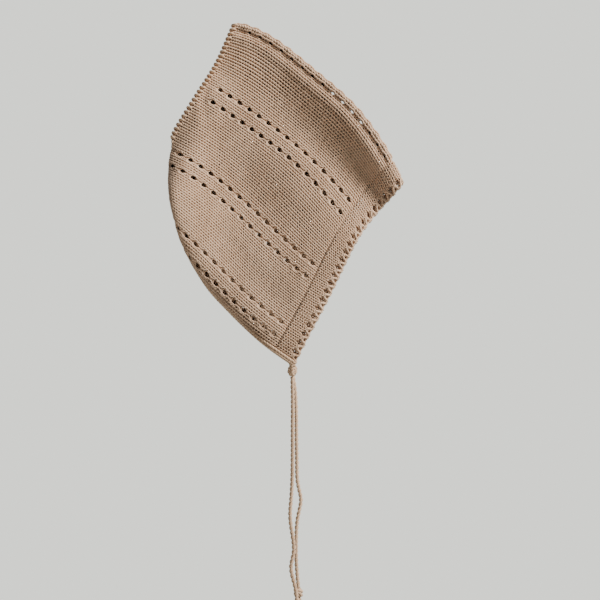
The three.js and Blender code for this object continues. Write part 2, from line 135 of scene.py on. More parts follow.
def spline_weights(knots, t):
    """Weights of the values at the knots for a natural cubic spline at each t."""
    knots, t = np.asarray(knots, float), np.asarray(t, float)
    i = np.clip(np.searchsorted(knots, t, side="right") - 1, 0, len(knots) - 2)
    gap = knots[i + 1] - knots[i]
    a, b = (knots[i + 1] - t) / gap, (t - knots[i]) / gap
    m = second_matrix(knots)
    at = np.arange(len(t))
    weights = np.zeros((len(t), len(knots)))
    weights[at, i] += a
    weights[at, i + 1] += b
    weights += ((a**3 - a) * gap**2 / 6)[:, None] * m[i]
    weights += ((b**3 - b) * gap**2 / 6)[:, None] * m[i + 1]
    return weights


def smooth(t):
    """From 0 to 1 without a kink at either end."""
    t = np.clip(t, 0, 1)
    return t * t * (3 - 2 * t)


def fold_profile(row, wale):
    """(sideways, downwards) from the crest to a wale next to the fold."""
    radius = FOLD_RADIUS_AT_FACE + (FOLD_RADIUS - FOLD_RADIUS_AT_FACE) * smooth(row / (2 * BAND_ROWS))
    arc, quarter = wale * STITCH_WIDTH, radius * math.pi / 2
    bent = arc < quarter
    side = np.where(bent, radius * np.sin(arc / radius), radius)
    drop = np.where(bent, radius * (1 - np.cos(arc / radius)), radius + arc - quarter)
    return side, drop


def hung_sheet(rows, wales):
    """The folded fabric before its corner is tucked in and its back closed, on a grid of rows by wales."""
    by_row = spline_weights(STATION_ROWS, rows)
    x, z = by_row @ SECTION_X.T, by_row @ SECTION_Z.T
    near, far = by_row @ SECTION_NEAR.T, by_row @ SECTION_FAR.T
    down = np.stack([x[:, 1] - x[:, 0], z[:, 1] - z[:, 0]], 1)
    down /= np.linalg.norm(down, axis=1)[:, None]
    knots, points = [], []
    for side, depth in ((-1, near), (1, far)):
        half_knots, half_points = [], []
        for wale in FOLD_WALES:
            out, drop = fold_profile(rows, wale)
            half_knots.append(side * wale)
            along, upward = x[:, 0] + down[:, 0] * drop, z[:, 0] + down[:, 1] * drop
            half_points.append(np.stack([along, depth[:, 0] + side * out, upward], 1))
        for k in range(1, len(SECTION_WALES)):
            half_knots.append(side * SECTION_WALES[k])
            half_points.append(np.stack([x[:, k], depth[:, k], z[:, k]], 1))
        if side < 0:
            knots += half_knots[::-1] + [0]
            points += half_points[::-1] + [np.stack([x[:, 0], near[:, 0], z[:, 0]], 1)]
        else:
            knots += half_knots
            points += half_points
    across = spline_weights(knots, wales)
    return np.einsum("wk,krc->rwc", across, np.stack(points))


def tuck_in(p, side):
    """Swells the rims and turns what lies past the ellipse inwards, in place."""
    dx, dz = p[..., 0] - TUCK_X * HUNG_WIDTH, p[..., 2] - TUCK_Z * HUNG_HEIGHT
    reach = np.hypot(dx, dz)
    ratio = np.hypot(dx / (TUCK_HALF_WIDTH * HUNG_WIDTH), dz / (TUCK_HALF_HEIGHT * HUNG_HEIGHT))
    past = np.maximum(0, np.abs(np.degrees(np.arctan2(-dz, -dx)) - TUCK_MIDDLE) - TUCK_REACH)
    edge = reach / ratio * (1 + TUCK_RELEASE * past**2)
    p[..., 1] += side * RIM_SWELL * smooth((reach - edge) / RIM_SWELL_WIDTH + 1)
    over = np.maximum(0, reach - edge)
    turned = np.minimum(over / TUCK_RADIUS, math.pi)
    folded = edge + TUCK_RADIUS * np.sin(turned) - (over - turned * TUCK_RADIUS)
    change = np.where(over > 0, (folded - reach) / reach, 0)
    p[..., 0] += dx * change
    p[..., 2] += dz * change
    p[..., 1] -= side * TUCK_RADIUS * (1 - np.cos(turned))


def surface_grid(rows, wales):
    """Points of the middle of the fabric on a grid of rows by wales."""
    p = hung_sheet(rows, wales)
    seam_y = (spline_weights(SECTION_WALES, np.abs(wales)) @ SECTION_SEAM)[None, :]
    side = np.where(wales < 0, -1.0, 1.0)[None, :]
    from_seam = np.abs(p[..., 1] - seam_y)
    tuck_in(p, side)
    at_seam = seam_y + side * np.minimum(SEAM_SPREAD / 2, from_seam)
    closed = smooth((rows - ROWS + SEAM_CLOSING_ROWS) / SEAM_CLOSING_ROWS)[:, None]
    p[..., 1] += (at_seam - p[..., 1]) * closed
    return p


# Look-up tables of the surface, a little wider than the fabric
GRID_ROW, GRID_WALE = 0.25, 0.125
SPARE_ROWS, SPARE_WALES = 3, 2
MEASURED_WALES = 8
LAST_CELL = 1.001

grid_rows = np.arange(-SPARE_ROWS, ROWS + SPARE_ROWS + GRID_ROW / 2, GRID_ROW)
grid_wales = np.arange(-WALES - SPARE_WALES, WALES + SPARE_WALES + GRID_WALE / 2, GRID_WALE)
POINTS = surface_grid(grid_rows, grid_wales)
ALONG = np.gradient(POINTS, GRID_ROW, axis=0)
ACROSS = np.gradient(POINTS, GRID_WALE, axis=1)
NORMALS = np.cross(ACROSS, ALONG)
NORMALS /= np.linalg.norm(NORMALS, axis=2)[..., None]


def mean_row_height(chosen):
    return float(np.mean(np.linalg.norm(ALONG[chosen, ::MEASURED_WALES], axis=2)))


ROW_HEIGHT = mean_row_height(grid_rows > BAND_ROWS)
BAND_ROW_HEIGHT = mean_row_height((grid_rows >= 0) & (grid_rows <= BAND_ROWS))
SEAM_ROW = ROWS - SEAM_DEPTH / ROW_HEIGHT


def sample(table, rows, wales):
    """Bilinear look-up in one of the surface's tables."""
    i = np.clip((rows - grid_rows[0]) / GRID_ROW, 0, len(grid_rows) - LAST_CELL)
    j = np.clip((wales - grid_wales[0]) / GRID_WALE, 0, len(grid_wales) - LAST_CELL)
    i0, j0 = i.astype(int), j.astype(int)
    a, b = (i - i0)[..., None], (j - j0)[..., None]
    return (
        table[i0, j0] * (1 - a) * (1 - b)
        + table[i0 + 1, j0] * a * (1 - b)
        + table[i0, j0 + 1] * (1 - a) * b
        + table[i0 + 1, j0 + 1] * a * b
    )


def on_fabric(rows, wales, heights):
    """(points, normals) at a height over the middle of the fabric."""
    normal = sample(NORMALS, rows, wales)
    normal /= np.linalg.norm(normal, axis=-1)[..., None]
    return sample(POINTS, rows, wales) + normal * np.asarray(heights)[..., None], normal


# Mesh helpers
YARN_SIDES, PLY_SIDES, ROUND_SIDES = 4, 6, 8


def add_piece(name, verts, quads, material, replaces=(), slot="body_yarn"):
    """One smooth mesh from arrays of points in millimetres and of faces with four corners."""
    mesh = bpy.data.meshes.new(name)
    verts = np.asarray(verts, np.float32) * MM
    quads = np.asarray(quads, np.int32)
    mesh.vertices.add(len(verts))
    mesh.vertices.foreach_set("co", verts.ravel())
    mesh.loops.add(quads.size)
    mesh.loops.foreach_set("vertex_index", quads.ravel())
    mesh.polygons.add(len(quads))
    mesh.polygons.foreach_set("loop_start", np.arange(0, quads.size, 4, dtype=np.int32))
    mesh.polygons.foreach_set("use_smooth", np.full(len(quads), True))
    mesh.update(calc_edges=True)
    mesh.validate()
    mesh.materials.append(material)
    piece = bpy.data.objects.new(name, mesh)
    bpy.context.collection.objects.link(piece)
    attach(piece, "root")
    if replaces:
        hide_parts(*replaces)
    return piece


def tubes(paths, normals, radius, sides):
    """Closed tubes with an even number of sides along many paths of equal length."""
    paths = np.asarray(paths, float)
    tangent = np.gradient(paths, axis=1)
    tangent /= np.linalg.norm(tangent, axis=2)[..., None] + TINY
    up = normals - tangent * np.sum(normals * tangent, axis=2)[..., None]
    up /= np.linalg.norm(up, axis=2)[..., None] + TINY
    side = np.cross(tangent, up)
    radius = np.broadcast_to(np.asarray(radius, float), paths.shape[:2])[..., None]
    rings = []
    for s in range(sides):
        angle = 2 * math.pi * (s + 0.5) / sides
        rings.append(paths + radius * (math.cos(angle) * up + math.sin(angle) * side))
    verts = np.stack(rings, 2)
    count, length = paths.shape[:2]
    base = (np.arange(count)[:, None, None] * length + np.arange(length - 1)[None, :, None]) * sides
    s = np.arange(sides)[None, None, :]
    n = (s + 1) % sides
    quads = np.stack([base + s, base + n, base + sides + n, base + sides + s], 3).reshape(-1, 4)
    start = np.arange(count) * length * sides
    end = start + (length - 1) * sides
    caps = []
    for k in range(0, sides - 2, 2):
        caps.append(np.stack([start + k + 3, start + k + 2, start + k + 1, start], 1))
        caps.append(np.stack([end, end + k + 1, end + k + 2, end + k + 3], 1))
    return verts.reshape(-1, 3), np.concatenate([quads] + caps)


def joined(parts):
    """Several (verts, quads) as one."""
    verts, quads, start = [], [], 0
    for v, q in parts:
        verts.append(v)
        quads.append(q + start)
        start += len(v)
    return np.concatenate(verts), np.concatenate(quads)


def unit(vectors):
    """A list of vectors at length 1."""
    return vectors / np.linalg.norm(vectors, axis=1)[:, None]


def run_along(path):
    """Distance from a path's start to each of its points."""
    return np.concatenate([[0], np.cumsum(np.linalg.norm(np.diff(path, axis=0), axis=1))])


def at_runs(at, run, points):
    return np.stack([np.interp(at, run, points[:, c]) for c in range(3)], 1)


# Materials
YARN_LOOK = {
    "Roughness": 0.92, "Specular IOR Level": 0.18, "Sheen Weight": 0.22, "Sheen Roughness": 0.5
}
# Scale, detail and weight of each noise, from the finest to the coarsest
MOTTLE = ((2600.0, 2.0, 0.35), (420.0, 3.0, 0.4), (45.0, 3.0, 0.45))
DARK_UP_TO, LIGHT_FROM = 0.42, 0.78
FIBRE_BUMP, FIBRE_HEIGHT = 0.25, 0.0004


def linear(*srgb):
    """A colour in sRGB of 0 to 255 as linear light."""
    shares = [c / 255 for c in srgb]
    return tuple(c / 12.92 if c <= 0.04045 else ((c + 0.055) / 1.055) ** 2.4 for c in shares)


def yarn_material(name, light, dark):
    """Matte cotton: mottled colour at three scales, a soft nap and fibres as bump."""
    material = bpy.data.materials.new(name)
    material.use_nodes = True
    nodes, links = material.node_tree.nodes, material.node_tree.links
    shader = nodes["Principled BSDF"]
    for socket, value in YARN_LOOK.items():
        shader.inputs[socket].default_value = value
    where = nodes.new("ShaderNodeTexCoord")
    noises, total = [], None
    for scale, detail, weight in MOTTLE:
        noise = nodes.new("ShaderNodeTexNoise")
        noise.inputs["Scale"].default_value = scale
        noise.inputs["Detail"].default_value = detail
        links.new(where.outputs["Object"], noise.inputs["Vector"])
        noises.append(noise)
        add = nodes.new("ShaderNodeMath")
        add.operation = "MULTIPLY_ADD"
        add.inputs[1].default_value = weight
        add.inputs[2].default_value = 0.0
        links.new(noise.outputs["Fac"], add.inputs[0])
        if total:
            links.new(total.outputs[0], add.inputs[2])
        total = add
    ramp = nodes.new("ShaderNodeValToRGB")
    for stop, position, colour in zip(ramp.color_ramp.elements, (DARK_UP_TO, LIGHT_FROM), (dark, light)):
        stop.position = position
        stop.color = (*linear(*colour), 1)
    links.new(total.outputs[0], ramp.inputs["Fac"])
    links.new(ramp.outputs["Color"], shader.inputs["Base Color"])
    lift = nodes.new("ShaderNodeBump")
    lift.inputs["Strength"].default_value = FIBRE_BUMP
    lift.inputs["Distance"].default_value = FIBRE_HEIGHT
    links.new(noises[0].outputs["Fac"], lift.inputs["Height"])
    links.new(lift.outputs["Normal"], shader.inputs["Normal"])
    return material


BODY = yarn_material("body_yarn_look", (229, 197, 168), (201, 168, 139))
# The backing's dark brown is painted shade: it stands for the yarn in shadow seen between and behind the
# loops
PAINTED_SHADE_BACKING = yarn_material("painted_shade_backing_look", (80, 62, 47), (62, 48, 37))
CORD = yarn_material("cord_yarn_look", (228, 196, 165), (204, 170, 138))

# Ties: steps from the exit below each chin loop, as in the source
NEAR_TIE = [
    (0, 0, 0), (0.2, 0, -10), (0.3, 0, -22), (0.2, 0, -36), (0.2, 0, -50), (0.1, 0, -64), (-0.2, 0, -76),
    (-1.0, 0, -89), (-1.6, 0, -98), (-0.8, 0, -108), (0.7, 0.5, -118), (0.8, 1, -127), (-0.9, 1, -136),
    (0.2, 1, -144), (2.2, 1, -152), (3.3, 1, -161),
]
FAR_TIE = [
    (0, 0, 0), (1.5, 0, -9), (2.5, 0, -22), (2.8, 0, -38), (3.0, 0, -54), (3.2, 0, -70), (3.6, 0, -80),
    (5.2, 0, -88), (6.2, 0, -94), (5.2, 0, -101), (3.6, 0, -109), (2.8, 0, -120), (2.6, 0, -131),
    (2.8, 0, -141), (3.4, 0, -150), (4.4, 0, -160),
]
CORD_DIAMETER, TWIST_LENGTH, CORD_PLIES = 3.0, 7.0, 2
CORD_SPREAD, CORD_PLY, CORD_STEP, CORD_PATH_STEP = 0.7, 0.92, 0.7, 3
LOOP_RADIUS, LOOP_WIRE, CLEARANCE = 2.3, 1.5, 0.3
LOOP_SPREAD, LOOP_PLY, LOOP_TWISTS, LOOP_POINTS = 0.6, 0.8, 3, 41
KNOT_LENGTH, KNOT_DIAMETER = 6.5, 7.0
KNOT_TURNS, KNOT_POINTS, KNOT_SPREAD, KNOT_PLY, KNOT_TWIST = 3, 28, 0.62, 0.85, 0.8
KNOT_INSET, KNOT_TAPER, KNOT_WAVE, KNOT_WAVE_SHIFT, KNOT_TILT = 1.25, 0.25, 1.1, 2.1, 0.55
KNOT_FIRST_TURN, KNOT_TURN_STEP = 0.28, 0.23
KNOT_CORE_POINTS, KNOT_CORE_RADIUS, KNOT_CORE_START, KNOT_CORE_SHORTER = 9, 2.0, 0.6, 0.8
TASSEL_LENGTH, TASSEL_DIAMETER, TASSEL_SEED = 15.0, 9.0, 11
TASSEL_STRANDS, TASSEL_POINTS, TASSEL_YARN, TASSEL_INSET = 46, 8, 0.42, 0.6
TASSEL_SHORTEST, TASSEL_INNERMOST, TASSEL_BEND, TASSEL_SWING = 0.82, 0.02, 0.8, 0.6
TASSEL_NECK, TASSEL_FLARE, TASSEL_TOP, TASSEL_EXTRA = 0.25, 1.5, 1.2, 1.0


# How much finer than its steps a path is first drawn, the fewest points of a path, and how nearly along
# X a path may start before its plies are set out from Z
FINER, FEWEST_POINTS, NEARLY_ALONG_X = 4, 4, 0.8


def dense(route, step):
    """A smooth path through the points with even steps, and its length."""
    route = np.asarray(route, float)
    chord = run_along(route)
    fine = np.linspace(0, chord[-1], int(chord[-1] / (step / FINER)))
    path = spline_weights(chord, fine) @ route
    run = run_along(path)
    even = np.linspace(0, run[-1], max(FEWEST_POINTS, int(run[-1] / step)))
    return at_runs(even, run, path), run[-1]


def plies(path, ply_count, spread, twist):
    """Strands that wind round a path, as (paths, normals)."""
    tangent = unit(np.gradient(path, axis=0))
    up = np.zeros_like(path)
    start_x = abs(tangent[0, 0]) < NEARLY_ALONG_X
    last = np.array([1.0, 0.0, 0.0] if start_x else [0.0, 0.0, 1.0])
    for k in range(len(path)):
        last = last - tangent[k] * last.dot(tangent[k])
        last /= np.linalg.norm(last)
        up[k] = last
    side = np.cross(tangent, up)
    run = run_along(path)
    strands, outs = [], []
    for p in range(ply_count):
        angle = 2 * math.pi * (run / twist + p / ply_count)
        out = np.cos(angle)[:, None] * up + np.sin(angle)[:, None] * side
        strands.append(path + out * spread)
        outs.append(out)
    return np.stack(strands), np.stack(outs)


def end_knot(top):
    """A round knot of three two-ply turns over a core."""
    parts = []
    t = np.linspace(0, 2 * math.pi, KNOT_POINTS + 1)[:-1]
    for turn in range(KNOT_TURNS):
        from_middle = turn - 1
        reach = KNOT_DIAMETER / 2 - KNOT_INSET - KNOT_TAPER * abs(from_middle)
        wave = KNOT_WAVE * np.sin(t + turn * KNOT_WAVE_SHIFT)
        ring = np.stack([reach * np.cos(t), reach * np.sin(t), wave], 1)
        below = KNOT_LENGTH * (KNOT_FIRST_TURN + KNOT_TURN_STEP * turn)
        ring[:, 2] += -CLEARANCE - below + from_middle * KNOT_TILT
        path = np.concatenate([ring, ring[:2]]) + top
        strands, outs = plies(path, CORD_PLIES, KNOT_SPREAD, TWIST_LENGTH * KNOT_TWIST)
        parts.append(tubes(strands, outs, KNOT_PLY, PLY_SIDES))
    t = np.linspace(0, 1, KNOT_CORE_POINTS)
    z = -CLEARANCE - KNOT_CORE_START - t * (KNOT_LENGTH - KNOT_CORE_SHORTER)
    core = np.stack([0 * t, 0 * t, z], 1) + top
    normal = np.tile([1.0, 0, 0], (len(core), 1))
    parts.append(tubes(core[None], normal[None], KNOT_CORE_RADIUS, ROUND_SIDES))
    return parts


def tassel(top, seed):
    """Short loose strands below a knot."""
    local = np.random.default_rng(seed)
    t = np.linspace(0, 1, TASSEL_POINTS)
    strands, outs = [], []
    for _ in range(TASSEL_STRANDS):
        angle = local.uniform(0, 2 * math.pi)
        wide = math.sqrt(local.uniform(TASSEL_INNERMOST, 1)) * (TASSEL_DIAMETER / 2 - TASSEL_INSET)
        long = TASSEL_LENGTH * local.uniform(TASSEL_SHORTEST, 1.0)
        bend = local.uniform(-TASSEL_BEND, TASSEL_BEND)
        reach = TASSEL_NECK * wide + (wide - TASSEL_NECK * wide) * smooth(t * TASSEL_FLARE)
        swing = angle + bend * t * TASSEL_SWING
        z = -CLEARANCE - KNOT_LENGTH + TASSEL_TOP - t * (long + TASSEL_EXTRA)
        strands.append(np.stack([reach * np.cos(swing), reach * np.sin(swing), z], 1) + top)
        outs.append(np.tile([math.cos(angle), math.sin(angle), 0.0], (TASSEL_POINTS, 1)))
    return [tubes(np.stack(strands), np.stack(outs), TASSEL_YARN, PLY_SIDES)]


def chin_loop_centre(label):
    low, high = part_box("chin_loop_" + label)
    return np.array((low + high) / 2) / MM


def tie(side, label, route):
    """One cord with its knot and tassel, and the chin loop above it. The CAD loop gives the place."""
    centre = chin_loop_centre(label)
    exit_point = centre + np.array([0, 0, -(LOOP_RADIUS + LOOP_WIRE + CLEARANCE)])
    path, length = dense(np.asarray(route, float) + exit_point, CORD_STEP)
    verts, quads = tubes(*plies(path, CORD_PLIES, CORD_SPREAD, TWIST_LENGTH), CORD_PLY, ROUND_SIDES)
    cord = add_piece("tie_" + label, verts, quads, CORD, ["tie_cord_" + label], "cord_yarn")
    verts, quads = joined(end_knot(path[-1]) + tassel(path[-1], TASSEL_SEED + side))
    end = add_piece("tassel_" + label, verts, quads, CORD, ["tie_end_" + label], "cord_yarn")
    t = np.linspace(0, 2 * math.pi, LOOP_POINTS)
    ring = np.stack([LOOP_RADIUS * np.cos(t), 0 * t, LOOP_RADIUS * np.sin(t)], 1) + centre
    twist = 2 * math.pi * LOOP_RADIUS / LOOP_TWISTS
    verts, quads = tubes(*plies(ring, CORD_PLIES, LOOP_SPREAD, twist), LOOP_PLY, PLY_SIDES)
    add_piece("chin_ring_" + label, verts, quads, CORD, ["chin_loop_" + label], "cord_yarn")


for (side, label), route in zip(SIDES, (NEAR_TIE, FAR_TIE)):
    tie(side, label, route)

# Stitches
YARN = 1.28
LOOP_SWING, LOOP_RISE, LOOP_DEPTH = 0.215, 0.93, 0.46
STEPS = 10
YARN_LIFT = 0.15
EYELETS, ROWS_PER_EYELET = 15, 4
FIRST_EYELET_ROW = BAND_ROWS + ROWS_PER_EYELET
EYELET_HALF_ROWS, EYELET_HALF_WALES = 1.0, 0.44
CREST_SHRINK, CREST_END = 0.62, 5
# A hole pushes the yarn aside up to HOLE_REACH of its size, with a soft end, and the yarn that crosses
# its middle is sent round one side
HOLE_REACH, HOLE_FADE, HOLE_MIDDLE, HOLE_MIDDLE_FADE = 1.9, 0.6, 0.15, 0.45
LADDER_PAIRS, LADDER_OFFSET = (15, 30, 44), 1.5
FAR_DRIFTS = (0.75, 1.25, 1.75)
ALIGNED_FROM, ALIGNED_TO = 22, 38
LAST_SHIFTED, SHIFTED_TO = 20, 18
# How irregular the knitting is: (step in wales, spread)
SWING_NOISE, ROW_NOISE, RISE_NOISE = (1.0, 0.06), (2.0, 0.05), (1.0, 0.04)
HEIGHT_NOISE, YARN_NOISE = (1.0, 0.05), (1.5, 0.05)
NOISE_SPAN = 50

# The far eyelets lie half a step behind the near ones and drift back along each ladder, so that the
# fabric shows through the near ones. Along the crest only a few holes in the middle line up.
near_rows = FIRST_EYELET_ROW + ROWS_PER_EYELET * np.arange(EYELETS)
half_step = ROWS_PER_EYELET / 2
aligned = (near_rows > ALIGNED_FROM) & (near_rows < ALIGNED_TO)
crest_rows = np.where(aligned, near_rows, near_rows + half_step)
crest_rows = np.where(near_rows == LAST_SHIFTED, SHIFTED_TO, crest_rows)
ladders = [(-LADDER_OFFSET, near_rows), (LADDER_OFFSET, crest_rows)]
for pair, drift in zip(LADDER_PAIRS, FAR_DRIFTS):
    far_rows = near_rows + half_step + np.linspace(0, drift, EYELETS)
    for offset in (-LADDER_OFFSET, LADDER_OFFSET):
        ladders += [(-pair + offset, near_rows), (pair + offset, far_rows)]
LADDERS = np.array([wale for wale, _ in ladders])
HOLE_ROWS = np.stack([rows for _, rows in ladders])


def hole_size(hole_wale):
    """Share of the eyelets' full size: those along the crest are pulled nearly shut."""
    return np.where(np.abs(hole_wale) < CREST_END, CREST_SHRINK, 1.0)


def hole_beside(rows, wales):
    """(row, wale) of the eyelet next to each point."""
    ladder = np.argmin(np.abs(wales[..., None] - LADDERS), axis=-1)
    choices = HOLE_ROWS[ladder]
    k = np.argmin(np.abs(rows[..., None] - choices), axis=-1)
    return np.take_along_axis(choices, k[..., None], -1)[..., 0], LADDERS[ladder]


def open_holes(yarn_row, rows, wales, hole_row, hole_wale, half_rows, half_wales):
    """Moves the yarn out of the holes: a row's yarn passes each hole on its own side."""
    dr = (rows - hole_row) / half_rows
    dw = (wales - hole_wale) / half_wales
    q = np.hypot(dr, dw)
    side = np.where(yarn_row > hole_row, 1.0, -1.0)
    free = smooth((np.abs(dw) - HOLE_MIDDLE) / HOLE_MIDDLE_FADE)
    er = free * dr / (q + BARELY) + (1 - free) * side
    ew = dw / (q + BARELY)
    size = np.hypot(er, ew) + BARELY
    target = 1 + q * (HOLE_REACH - 1) / HOLE_REACH
    fade = np.where(q < HOLE_REACH, smooth((HOLE_REACH - q) / HOLE_FADE), 0)
    dr = dr + (er / size * target - dr) * fade
    dw = dw + (ew / size * target - dw) * fade
    return hole_row + dr * half_rows, hole_wale + dw * half_wales


def bell(at, middle, spread):
    return np.exp(-(((at - middle) / spread) ** 2))


# Relief of the knitting in millimetres, with places and widths in wales or rows
CREST_RISE, CREST_PUCKER, CREST_WIDTH = 0.5, 1.0, 1.0
CREST_GROOVE, CREST_GROOVE_AT, CREST_GROOVE_WIDTH, GROOVE_PUCKER = 1.7, 1.9, 0.65, 0.4
SHOULDER, SHOULDER_AT, SHOULDER_WIDTH = 0.5, 3.3, 0.7
RIBBON, RIBBON_FADES, RIBBON_FADE, RIBBON_PUCKER = 0.4, 1.6, 1.1, 0.3
LADDER_GROOVE, LADDER_GROOVE_WIDTH = 0.4, 0.4
LADDER_STRANDS, LADDER_STRANDS_WIDTH = 0.4, 0.5
RELIEF_START, RELIEF_FADE = 0.5, 2
SWELL, SWELL_WAVE, SWELL_ROW, SWELL_ROWS, SWELL_START, SWELL_FADE = 0.9, 15, 38, 26, 5, 8
JOINT_GROOVE, JOINT_AFTER, JOINT_WIDTH = 1.1, 0.5, 1.1


def relief(rows, wales):
    """Height of the knitting over the smooth fabric: the puckered crest, the ribbons and their grooves."""
    first = FIRST_EYELET_ROW + np.where(wales > CREST_END, half_step, 0)
    pucker = 0.5 - 0.5 * np.cos(2 * math.pi * (rows - first) / ROWS_PER_EYELET)
    away = np.abs(wales)
    groove = CREST_GROOVE * bell(away, CREST_GROOVE_AT, CREST_GROOVE_WIDTH)
    height = bell(away, 0, CREST_WIDTH) * (CREST_RISE + CREST_PUCKER * pucker)
    height = height - groove * ((1 - GROOVE_PUCKER) + GROOVE_PUCKER * pucker)
    height = height + SHOULDER * bell(away, SHOULDER_AT, SHOULDER_WIDTH)
    for pair in LADDER_PAIRS:
        ribbon = RIBBON * smooth(RIBBON_FADES - np.abs(away - pair) / RIBBON_FADE)
        height = height + ribbon * ((1 - RIBBON_PUCKER) + RIBBON_PUCKER * pucker)
        height = height - LADDER_GROOVE * bell(away, pair - LADDER_OFFSET, LADDER_GROOVE_WIDTH)
        height = height + LADDER_STRANDS * bell(away, pair + LADDER_OFFSET, LADDER_STRANDS_WIDTH) * pucker
    height = height * smooth((rows - BAND_ROWS - RELIEF_START) / RELIEF_FADE)
    height = height * smooth((ROWS - RELIEF_START - rows) / RELIEF_FADE)
    wave = SWELL * np.sin(away / SWELL_WAVE * 2 * math.pi)
    swell = wave * bell(rows, SWELL_ROW, SWELL_ROWS) * smooth((away - SWELL_START) / SWELL_FADE)
    return height + swell - JOINT_GROOVE * bell(rows, BAND_ROWS + JOINT_AFTER, JOINT_WIDTH)


def wander(noise, middle=0.0):
    """A seeded smooth irregularity along a row, as a function of the wale."""
    step, spread = noise
    knots = np.arange(-NOISE_SPAN, NOISE_SPAN + step, step)
    values = rng.normal(middle, spread, len(knots))
    return lambda at: np.interp(at, knots, values)


def knit_row(yarn_row, swing=LOOP_SWING, rise=LOOP_RISE, depth=LOOP_DEPTH):
    """(rows, wales, heights) of one row's yarn, from the near neck edge over the fold to the far one."""
    t = np.arange(round(2 * WALES * STEPS) + 1) / STEPS - WALES
    phase = 2 * math.pi * t
    wales = t + swing * np.sin(2 * phase) * wander(SWING_NOISE, 1.0)(t)
    rows = yarn_row + wander(ROW_NOISE)(t) + rise * np.cos(phase) * wander(RISE_NOISE, 1.0)(t)
    heights = -depth * np.cos(2 * phase) + wander(HEIGHT_NOISE)(t)
    return rows, wales, heights


def knit_piece(name, yarn_rows, replaces):
    """Some rows of the crown panel."""
    paths, normals, radii = [], [], []
    for yarn_row in yarn_rows:
        rows, wales, heights = knit_row(yarn_row)
        hole_row, hole_wale = hole_beside(rows, wales)
        size = hole_size(hole_wale)
        half_rows, half_wales = EYELET_HALF_ROWS * size, EYELET_HALF_WALES * size
        rows, wales = open_holes(yarn_row, rows, wales, hole_row, hole_wale, half_rows, half_wales)
        points, normal = on_fabric(rows, wales, heights + relief(rows, wales) + YARN_LIFT)
        paths.append(points)
        normals.append(normal)
        radii.append(YARN / 2 * wander(YARN_NOISE, 1.0)(wales))
    verts, quads = tubes(np.stack(paths), np.stack(normals), np.stack(radii), YARN_SIDES)
    add_piece(name, verts, quads, BODY, replaces)


# Name, first row, row after the last, replaced node
PANEL_PARTS = (("knit_front", 9, 31, ["crown_panel"]), ("knit_middle", 31, 52, []), ("knit_back", 52, 74, []))

for name, first_row, row_after, replaced in PANEL_PARTS:
    knit_piece(name, np.arange(first_row, row_after), replaced)

# Face band: a hem with picot teeth. Its runs are in rows from the face edge, positive on the outer
# layer and negative on the inner one, and its holes and notches are (run, half length, half width).
HEM_OUT, HEM_IN = 0.35, -2.85
HEM_RADIUS = (HEM_OUT - HEM_IN) / 2
HEM_ROWS, HEM_LAP, HEM_YARN = 16, 0.1, 1.22
HEM_SWING, HEM_RISE, HEM_DEPTH = 0.25, 0.72, 0.42
TURN_ROWS = math.pi * HEM_RADIUS / BAND_ROW_HEIGHT / 2
PICOT_HOLE, NOTCH = (1.8, 1.25, 0.56), (0.6, 0.9, 0.38)
TOOTH, TOOTH_BY_WALE, TOOTH_BY_PAIR, TOOTH_RUN = 0.9, 0.45, 0.3, 3.0


def hem_point(run, wales, heights):
    """(points, normals) on the hem."""
    tooth = TOOTH + TOOTH_BY_WALE * np.cos(2 * math.pi * wales) + TOOTH_BY_PAIR * np.cos(math.pi * wales)
    reach = tooth * smooth(1 - np.abs(run) / TOOTH_RUN)
    angle = np.clip(run / TURN_ROWS, -1, 1) * math.pi / 2
    depth = np.maximum(np.abs(run) - TURN_ROWS, 0) * BAND_ROW_HEIGHT + HEM_RADIUS * (1 - np.cos(angle))
    depth = depth - reach - heights * np.cos(angle)
    level = (HEM_OUT + HEM_IN) / 2 + (HEM_RADIUS + heights) * np.sin(angle)
    return on_fabric(depth / BAND_ROW_HEIGHT, wales, level)


def hem():
    paths, normals = [], []
    last = TURN_ROWS + BAND_ROWS - HEM_RADIUS / BAND_ROW_HEIGHT - HEM_LAP
    for yarn_row in np.linspace(-last, last, HEM_ROWS):
        run, wales, heights = knit_row(yarn_row, HEM_SWING, HEM_RISE, HEM_DEPTH)
        if yarn_row > 0:
            even = 2 * np.round(wales / 2)
            odd = 2 * np.round((wales - 1) / 2) + 1
            for beside, (at, half_run, half_wales) in ((even, PICOT_HOLE), (odd, NOTCH)):
                run, wales = open_holes(yarn_row, run, wales, at, beside, half_run, half_wales)
        points, normal = hem_point(run, wales, heights)
        paths.append(points)
        normals.append(normal)
    verts, quads = tubes(np.stack(paths), np.stack(normals), HEM_YARN / 2, YARN_SIDES)
    add_piece("hem", verts, quads, BODY, ["face_band"])


hem()

# Backing inside the loops: a sheet that stops the background showing through, in a dark brown that is painted
# shade for the yarn in shadow between the loops
BACKING_ROWS = np.concatenate([[8.1], np.arange(9, 73, 1.0), [73.3]])
BACKING_OUT, BACKING_IN = -0.15, -0.45
BACKING_START, BACKING_END, BACKING_STEP, BACKING_MARGIN = -47.4, 47.5, 1.58, 0.35
BACKING_HALF_ROWS, BACKING_HALF_WALES = 1.0, 0.38


